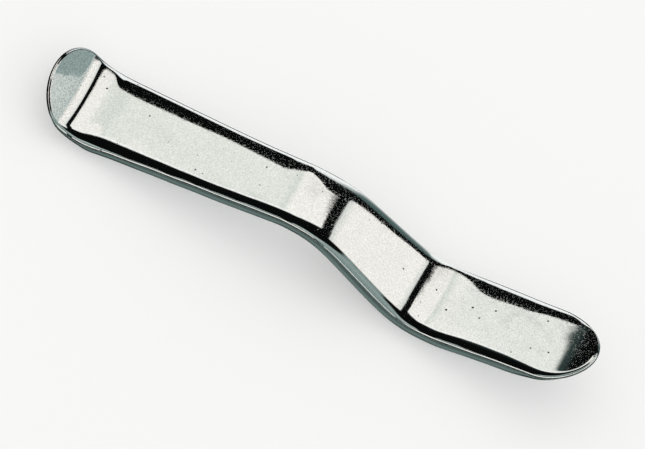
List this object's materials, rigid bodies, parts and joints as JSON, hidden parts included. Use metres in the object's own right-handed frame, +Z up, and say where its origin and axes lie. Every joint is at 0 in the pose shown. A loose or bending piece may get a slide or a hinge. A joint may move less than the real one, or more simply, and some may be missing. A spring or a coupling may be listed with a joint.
{
  "type": "pry lever",
  "caption": "One-piece forged and chrome-plated pry lever: flat bar with an upturned lip, an S-bent step and a rounded spoon tip.",
  "frame": {"origin": "on the table plane the lever rests on, below the middle of its bounding box", "axes": "+Z up from the table, +X along the bar from the lip to the spoon tip, +Y across the bar"},
  "size_m": [0.1268, 0.0188, 0.0182],
  "materials": {
    "plated_steel": "polished bright chrome plate over forged steel, with fine wiping scratches and a few small plating pits"
  },
  "bodies": {
    "root": {"lever_bar": "plated_steel"}
  },
  "joints": []
}
